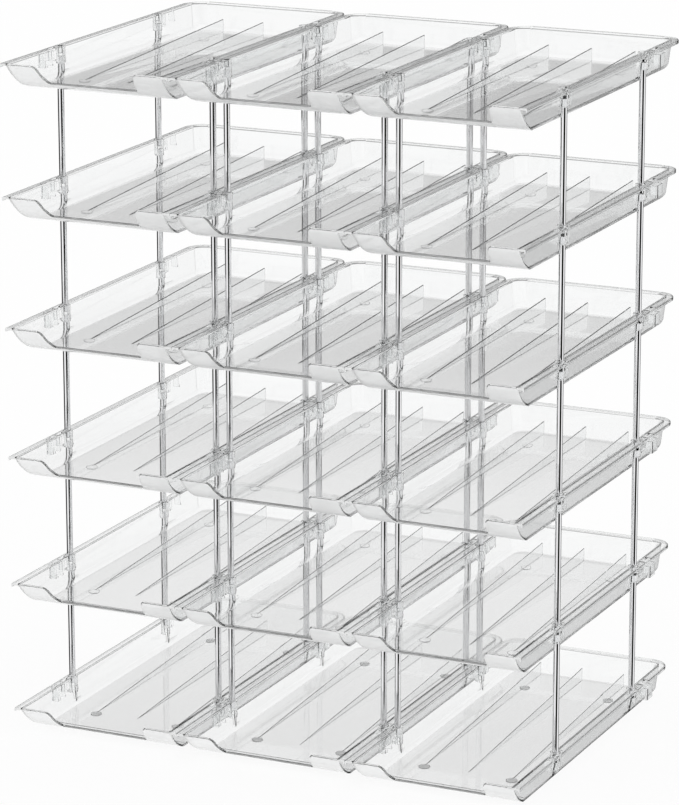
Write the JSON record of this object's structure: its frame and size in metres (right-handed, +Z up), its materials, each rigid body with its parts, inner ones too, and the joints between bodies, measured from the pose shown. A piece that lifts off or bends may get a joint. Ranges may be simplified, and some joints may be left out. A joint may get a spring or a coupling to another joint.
{
  "type": "stacked can organizer",
  "caption": "Free-standing refrigerator organizer: clear moulded trays in tiers and columns, carried on thin bright rods, with sloping ribs that roll drink cans to a low front lip.",
  "frame": {"origin": "middle of the footprint, on the surface that the feet stand on", "axes": "+Z up, +X to the right along the columns, -Y the open front where the cans come out"},
  "size_m": [0.435, 0.323, 0.5403],
  "materials": {
    "clear_plastic": "clear, glossy moulded plastic",
    "bright_metal": "bright plated rod"
  },
  "bodies": {
    "root": {"tray_left_1": "clear_plastic", "tray_left_2": "clear_plastic", "tray_left_3": "clear_plastic", "tray_left_4": "clear_plastic", "tray_left_5": "clear_plastic", "tray_left_6": "clear_plastic", "tray_middle_1": "clear_plastic", "tray_middle_2": "clear_plastic", "tray_middle_3": "clear_plastic", "tray_middle_4": "clear_plastic", "tray_middle_5": "clear_plastic", "tray_middle_6": "clear_plastic", "tray_right_1": "clear_plastic", "tray_right_2": "clear_plastic", "tray_right_3": "clear_plastic", "tray_right_4": "clear_plastic", "tray_right_5": "clear_plastic", "tray_right_6": "clear_plastic", "rods_left_front_left": "bright_metal", "rods_left_front_right": "bright_metal", "rods_left_back_left": "bright_metal", "rods_left_back_right": "bright_metal", "rods_middle_front_left": "bright_metal", "rods_middle_front_right": "bright_metal", "rods_middle_back_left": "bright_metal", "rods_middle_back_right": "bright_metal", "rods_right_front_left": "bright_metal", "rods_right_front_right": "bright_metal", "rods_right_back_left": "bright_metal", "rods_right_back_right": "bright_metal"}
  },
  "joints": []
}
